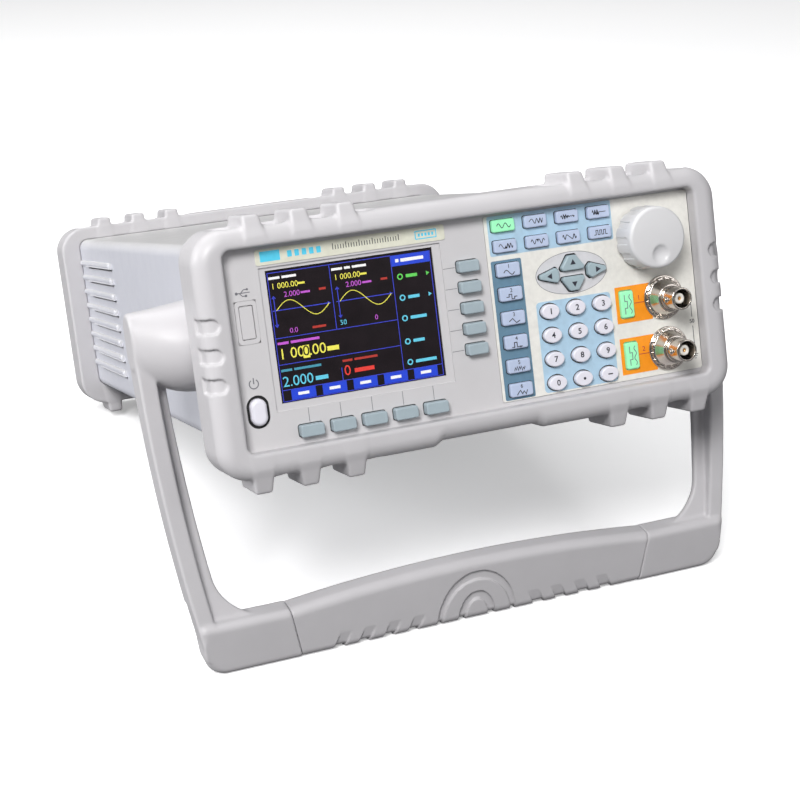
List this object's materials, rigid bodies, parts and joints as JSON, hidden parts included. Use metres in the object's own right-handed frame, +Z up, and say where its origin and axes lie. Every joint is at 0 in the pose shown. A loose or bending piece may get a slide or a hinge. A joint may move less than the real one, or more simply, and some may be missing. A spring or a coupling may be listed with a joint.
{
  "type": "function generator",
  "caption": "Bench function generator with corner bumpers, colour screen, sprung keypads, tuning knob, coaxial outputs and a swinging bail handle, shown standing nose up on the bail.",
  "frame": {"origin": "on the bench under the middle of the bounding box, with the instrument standing nose up on its bail handle and rear feet", "axes": "+X to the right seen from the front, +Y from the front panel to the rear, +Z up from the bench"},
  "size_m": [0.278, 0.3692, 0.1983],
  "materials": {
    "bumper_plastic": "fine moulded grain",
    "case_paint": "satin paint",
    "rear_paint": "satin paint",
    "panel_plastic": "smooth moulded",
    "screen_glass": "glossy screen",
    "knob_plastic": "satin",
    "plated_metal": "nickel plated",
    "pivot_metal": "turned",
    "board": "solder mask",
    "iron_core": "varnished laminations",
    "black_plastic": "moulded",
    "soft_key": "satin silicone",
    "blue_key": "satin silicone",
    "green_key": "lit translucent silicone",
    "white_key": "satin",
    "arrow_key": "satin silicone"
  },
  "bodies": {
    "instrument": {"front_bumper": "bumper_plastic", "rear_bumper": "bumper_plastic", "top_cover": "case_paint", "bottom_cover": "case_paint", "front_panel": "panel_plastic", "display_module": "screen_glass", "rotary_encoder": "plated_metal", "output_connectors": "plated_metal", "circuit_boards": "board", "power_transformer": "iron_core", "rear_panel": "rear_paint", "mains_inlet": "black_plastic", "case_screws": "plated_metal", "handle_pivots": "pivot_metal"},
    "handle": {"handle_arms": "bumper_plastic", "handle_grip": "bumper_plastic"},
    "knob": {"tuning_knob": "knob_plastic"},
    "power": {"power_button": "white_key"},
    "unit_1": {"unit_key_1": "soft_key"},
    "unit_2": {"unit_key_2": "soft_key"},
    "unit_3": {"unit_key_3": "soft_key"},
    "unit_4": {"unit_key_4": "soft_key"},
    "unit_5": {"unit_key_5": "soft_key"},
    "menu_1": {"menu_key_1": "soft_key"},
    "menu_2": {"menu_key_2": "soft_key"},
    "menu_3": {"menu_key_3": "soft_key"},
    "menu_4": {"menu_key_4": "soft_key"},
    "menu_5": {"menu_key_5": "soft_key"},
    "mode_1": {"mode_key_1": "green_key"},
    "mode_2": {"mode_key_2": "blue_key"},
    "mode_3": {"mode_key_3": "blue_key"},
    "mode_4": {"mode_key_4": "blue_key"},
    "mode_5": {"mode_key_5": "blue_key"},
    "mode_6": {"mode_key_6": "blue_key"},
    "mode_7": {"mode_key_7": "blue_key"},
    "mode_8": {"mode_key_8": "blue_key"},
    "wave_1": {"wave_key_1": "blue_key"},
    "wave_2": {"wave_key_2": "blue_key"},
    "wave_3": {"wave_key_3": "blue_key"},
    "wave_4": {"wave_key_4": "blue_key"},
    "wave_5": {"wave_key_5": "blue_key"},
    "wave_6": {"wave_key_6": "blue_key"},
    "output_a": {"output_key_a": "green_key"},
    "output_b": {"output_key_b": "green_key"},
    "digit_1": {"digit_key_1": "white_key"},
    "digit_2": {"digit_key_2": "white_key"},
    "digit_3": {"digit_key_3": "white_key"},
    "digit_4": {"digit_key_4": "white_key"},
    "digit_5": {"digit_key_5": "white_key"},
    "digit_6": {"digit_key_6": "white_key"},
    "digit_7": {"digit_key_7": "white_key"},
    "digit_8": {"digit_key_8": "white_key"},
    "digit_9": {"digit_key_9": "white_key"},
    "digit_10": {"digit_key_10": "white_key"},
    "digit_11": {"digit_key_11": "white_key"},
    "digit_12": {"digit_key_12": "white_key"},
    "arrow_up": {"arrow_key_up": "arrow_key"},
    "arrow_down": {"arrow_key_down": "arrow_key"},
    "arrow_left": {"arrow_key_left": "arrow_key"},
    "arrow_right": {"arrow_key_right": "arrow_key"}
  },
  "joints": [
    {"name": "handle_swing", "type": "hinge", "parent": "instrument", "child": "handle", "pos_m": [0, -0.11963, 0.13805], "axis": [-1, 0, 0], "range_deg": [-62, 244]},
    {"name": "knob_turn", "type": "hinge", "parent": "instrument", "child": "knob", "pos_m": [0.0831, -0.15377, 0.16825], "axis": [0, -0.9632, 0.2689], "continuous": true},
    {"name": "power_push", "type": "slide", "parent": "instrument", "child": "power", "axis": [0, 0.9632, -0.2689], "range_m": [0, 0.0025], "stiffness_N_per_m": 900},
    {"name": "unit_1_press", "type": "slide", "parent": "instrument", "child": "unit_1", "axis": [0, 0.9632, -0.2689], "range_m": [0, 0.0012], "stiffness_N_per_m": 700},
    {"name": "unit_2_press", "type": "slide", "parent": "instrument", "child": "unit_2", "axis": [0, 0.9632, -0.2689], "range_m": [0, 0.0012], "stiffness_N_per_m": 700},
    {"name": "unit_3_press", "type": "slide", "parent": "instrument", "child": "unit_3", "axis": [0, 0.9632, -0.2689], "range_m": [0, 0.0012], "stiffness_N_per_m": 700},
    {"name": "unit_4_press", "type": "slide", "parent": "instrument", "child": "unit_4", "axis": [0, 0.9632, -0.2689], "range_m": [0, 0.0012], "stiffness_N_per_m": 700},
    {"name": "unit_5_press", "type": "slide", "parent": "instrument", "child": "unit_5", "axis": [0, 0.9632, -0.2689], "range_m": [0, 0.0012], "stiffness_N_per_m": 700},
    {"name": "menu_1_press", "type": "slide", "parent": "instrument", "child": "menu_1", "axis": [0, 0.9632, -0.2689], "range_m": [0, 0.0012], "stiffness_N_per_m": 700},
    {"name": "menu_2_press", "type": "slide", "parent": "instrument", "child": "menu_2", "axis": [0, 0.9632, -0.2689], "range_m": [0, 0.0012], "stiffness_N_per_m": 700},
    {"name": "menu_3_press", "type": "slide", "parent": "instrument", "child": "menu_3", "axis": [0, 0.9632, -0.2689], "range_m": [0, 0.0012], "stiffness_N_per_m": 700},
    {"name": "menu_4_press", "type": "slide", "parent": "instrument", "child": "menu_4", "axis": [0, 0.9632, -0.2689], "range_m": [0, 0.0012], "stiffness_N_per_m": 700},
    {"name": "menu_5_press", "type": "slide", "parent": "instrument", "child": "menu_5", "axis": [0, 0.9632, -0.2689], "range_m": [0, 0.0012], "stiffness_N_per_m": 700},
    {"name": "mode_1_press", "type": "slide", "parent": "instrument", "child": "mode_1", "axis": [0, 0.9632, -0.2689], "range_m": [0, 0.0012], "stiffness_N_per_m": 700},
    {"name": "mode_2_press", "type": "slide", "parent": "instrument", "child": "mode_2", "axis": [0, 0.9632, -0.2689], "range_m": [0, 0.0012], "stiffness_N_per_m": 700},
    {"name": "mode_3_press", "type": "slide", "parent": "instrument", "child": "mode_3", "axis": [0, 0.9632, -0.2689], "range_m": [0, 0.0012], "stiffness_N_per_m": 700},
    {"name": "mode_4_press", "type": "slide", "parent": "instrument", "child": "mode_4", "axis": [0, 0.9632, -0.2689], "range_m": [0, 0.0012], "stiffness_N_per_m": 700},
    {"name": "mode_5_press", "type": "slide", "parent": "instrument", "child": "mode_5", "axis": [0, 0.9632, -0.2689], "range_m": [0, 0.0012], "stiffness_N_per_m": 700},
    {"name": "mode_6_press", "type": "slide", "parent": "instrument", "child": "mode_6", "axis": [0, 0.9632, -0.2689], "range_m": [0, 0.0012], "stiffness_N_per_m": 700},
    {"name": "mode_7_press", "type": "slide", "parent": "instrument", "child": "mode_7", "axis": [0, 0.9632, -0.2689], "range_m": [0, 0.0012], "stiffness_N_per_m": 700},
    {"name": "mode_8_press", "type": "slide", "parent": "instrument", "child": "mode_8", "axis": [0, 0.9632, -0.2689], "range_m": [0, 0.0012], "stiffness_N_per_m": 700},
    {"name": "wave_1_press", "type": "slide", "parent": "instrument", "child": "wave_1", "axis": [0, 0.9632, -0.2689], "range_m": [0, 0.0012], "stiffness_N_per_m": 700},
    {"name": "wave_2_press", "type": "slide", "parent": "instrument", "child": "wave_2", "axis": [0, 0.9632, -0.2689], "range_m": [0, 0.0012], "stiffness_N_per_m": 700},
    {"name": "wave_3_press", "type": "slide", "parent": "instrument", "child": "wave_3", "axis": [0, 0.9632, -0.2689], "range_m": [0, 0.0012], "stiffness_N_per_m": 700},
    {"name": "wave_4_press", "type": "slide", "parent": "instrument", "child": "wave_4", "axis": [0, 0.9632, -0.2689], "range_m": [0, 0.0012], "stiffness_N_per_m": 700},
    {"name": "wave_5_press", "type": "slide", "parent": "instrument", "child": "wave_5", "axis": [0, 0.9632, -0.2689], "range_m": [0, 0.0012], "stiffness_N_per_m": 700},
    {"name": "wave_6_press", "type": "slide", "parent": "instrument", "child": "wave_6", "axis": [0, 0.9632, -0.2689], "range_m": [0, 0.0012], "stiffness_N_per_m": 700},
    {"name": "output_a_press", "type": "slide", "parent": "instrument", "child": "output_a", "axis": [0, 0.9632, -0.2689], "range_m": [0, 0.0012], "stiffness_N_per_m": 700},
    {"name": "output_b_press", "type": "slide", "parent": "instrument", "child": "output_b", "axis": [0, 0.9632, -0.2689], "range_m": [0, 0.0012], "stiffness_N_per_m": 700},
    {"name": "digit_1_press", "type": "slide", "parent": "instrument", "child": "digit_1", "axis": [0, 0.9632, -0.2689], "range_m": [0, 0.0012], "stiffness_N_per_m": 700},
    {"name": "digit_2_press", "type": "slide", "parent": "instrument", "child": "digit_2", "axis": [0, 0.9632, -0.2689], "range_m": [0, 0.0012], "stiffness_N_per_m": 700},
    {"name": "digit_3_press", "type": "slide", "parent": "instrument", "child": "digit_3", "axis": [0, 0.9632, -0.2689], "range_m": [0, 0.0012], "stiffness_N_per_m": 700},
    {"name": "digit_4_press", "type": "slide", "parent": "instrument", "child": "digit_4", "axis": [0, 0.9632, -0.2689], "range_m": [0, 0.0012], "stiffness_N_per_m": 700},
    {"name": "digit_5_press", "type": "slide", "parent": "instrument", "child": "digit_5", "axis": [0, 0.9632, -0.2689], "range_m": [0, 0.0012], "stiffness_N_per_m": 700},
    {"name": "digit_6_press", "type": "slide", "parent": "instrument", "child": "digit_6", "axis": [0, 0.9632, -0.2689], "range_m": [0, 0.0012], "stiffness_N_per_m": 700},
    {"name": "digit_7_press", "type": "slide", "parent": "instrument", "child": "digit_7", "axis": [0, 0.9632, -0.2689], "range_m": [0, 0.0012], "stiffness_N_per_m": 700},
    {"name": "digit_8_press", "type": "slide", "parent": "instrument", "child": "digit_8", "axis": [0, 0.9632, -0.2689], "range_m": [0, 0.0012], "stiffness_N_per_m": 700},
    {"name": "digit_9_press", "type": "slide", "parent": "instrument", "child": "digit_9", "axis": [0, 0.9632, -0.2689], "range_m": [0, 0.0012], "stiffness_N_per_m": 700},
    {"name": "digit_10_press", "type": "slide", "parent": "instrument", "child": "digit_10", "axis": [0, 0.9632, -0.2689], "range_m": [0, 0.0012], "stiffness_N_per_m": 700},
    {"name": "digit_11_press", "type": "slide", "parent": "instrument", "child": "digit_11", "axis": [0, 0.9632, -0.2689], "range_m": [0, 0.0012], "stiffness_N_per_m": 700},
    {"name": "digit_12_press", "type": "slide", "parent": "instrument", "child": "digit_12", "axis": [0, 0.9632, -0.2689], "range_m": [0, 0.0012], "stiffness_N_per_m": 700},
    {"name": "arrow_up_press", "type": "slide", "parent": "instrument", "child": "arrow_up", "axis": [0, 0.9632, -0.2689], "range_m": [0, 0.0012], "stiffness_N_per_m": 700},
    {"name": "arrow_down_press", "type": "slide", "parent": "instrument", "child": "arrow_down", "axis": [0, 0.9632, -0.2689], "range_m": [0, 0.0012], "stiffness_N_per_m": 700},
    {"name": "arrow_left_press", "type": "slide", "parent": "instrument", "child": "arrow_left", "axis": [0, 0.9632, -0.2689], "range_m": [0, 0.0012], "stiffness_N_per_m": 700},
    {"name": "arrow_right_press", "type": "slide", "parent": "instrument", "child": "arrow_right", "axis": [0, 0.9632, -0.2689], "range_m": [0, 0.0012], "stiffness_N_per_m": 700}
  ]
}
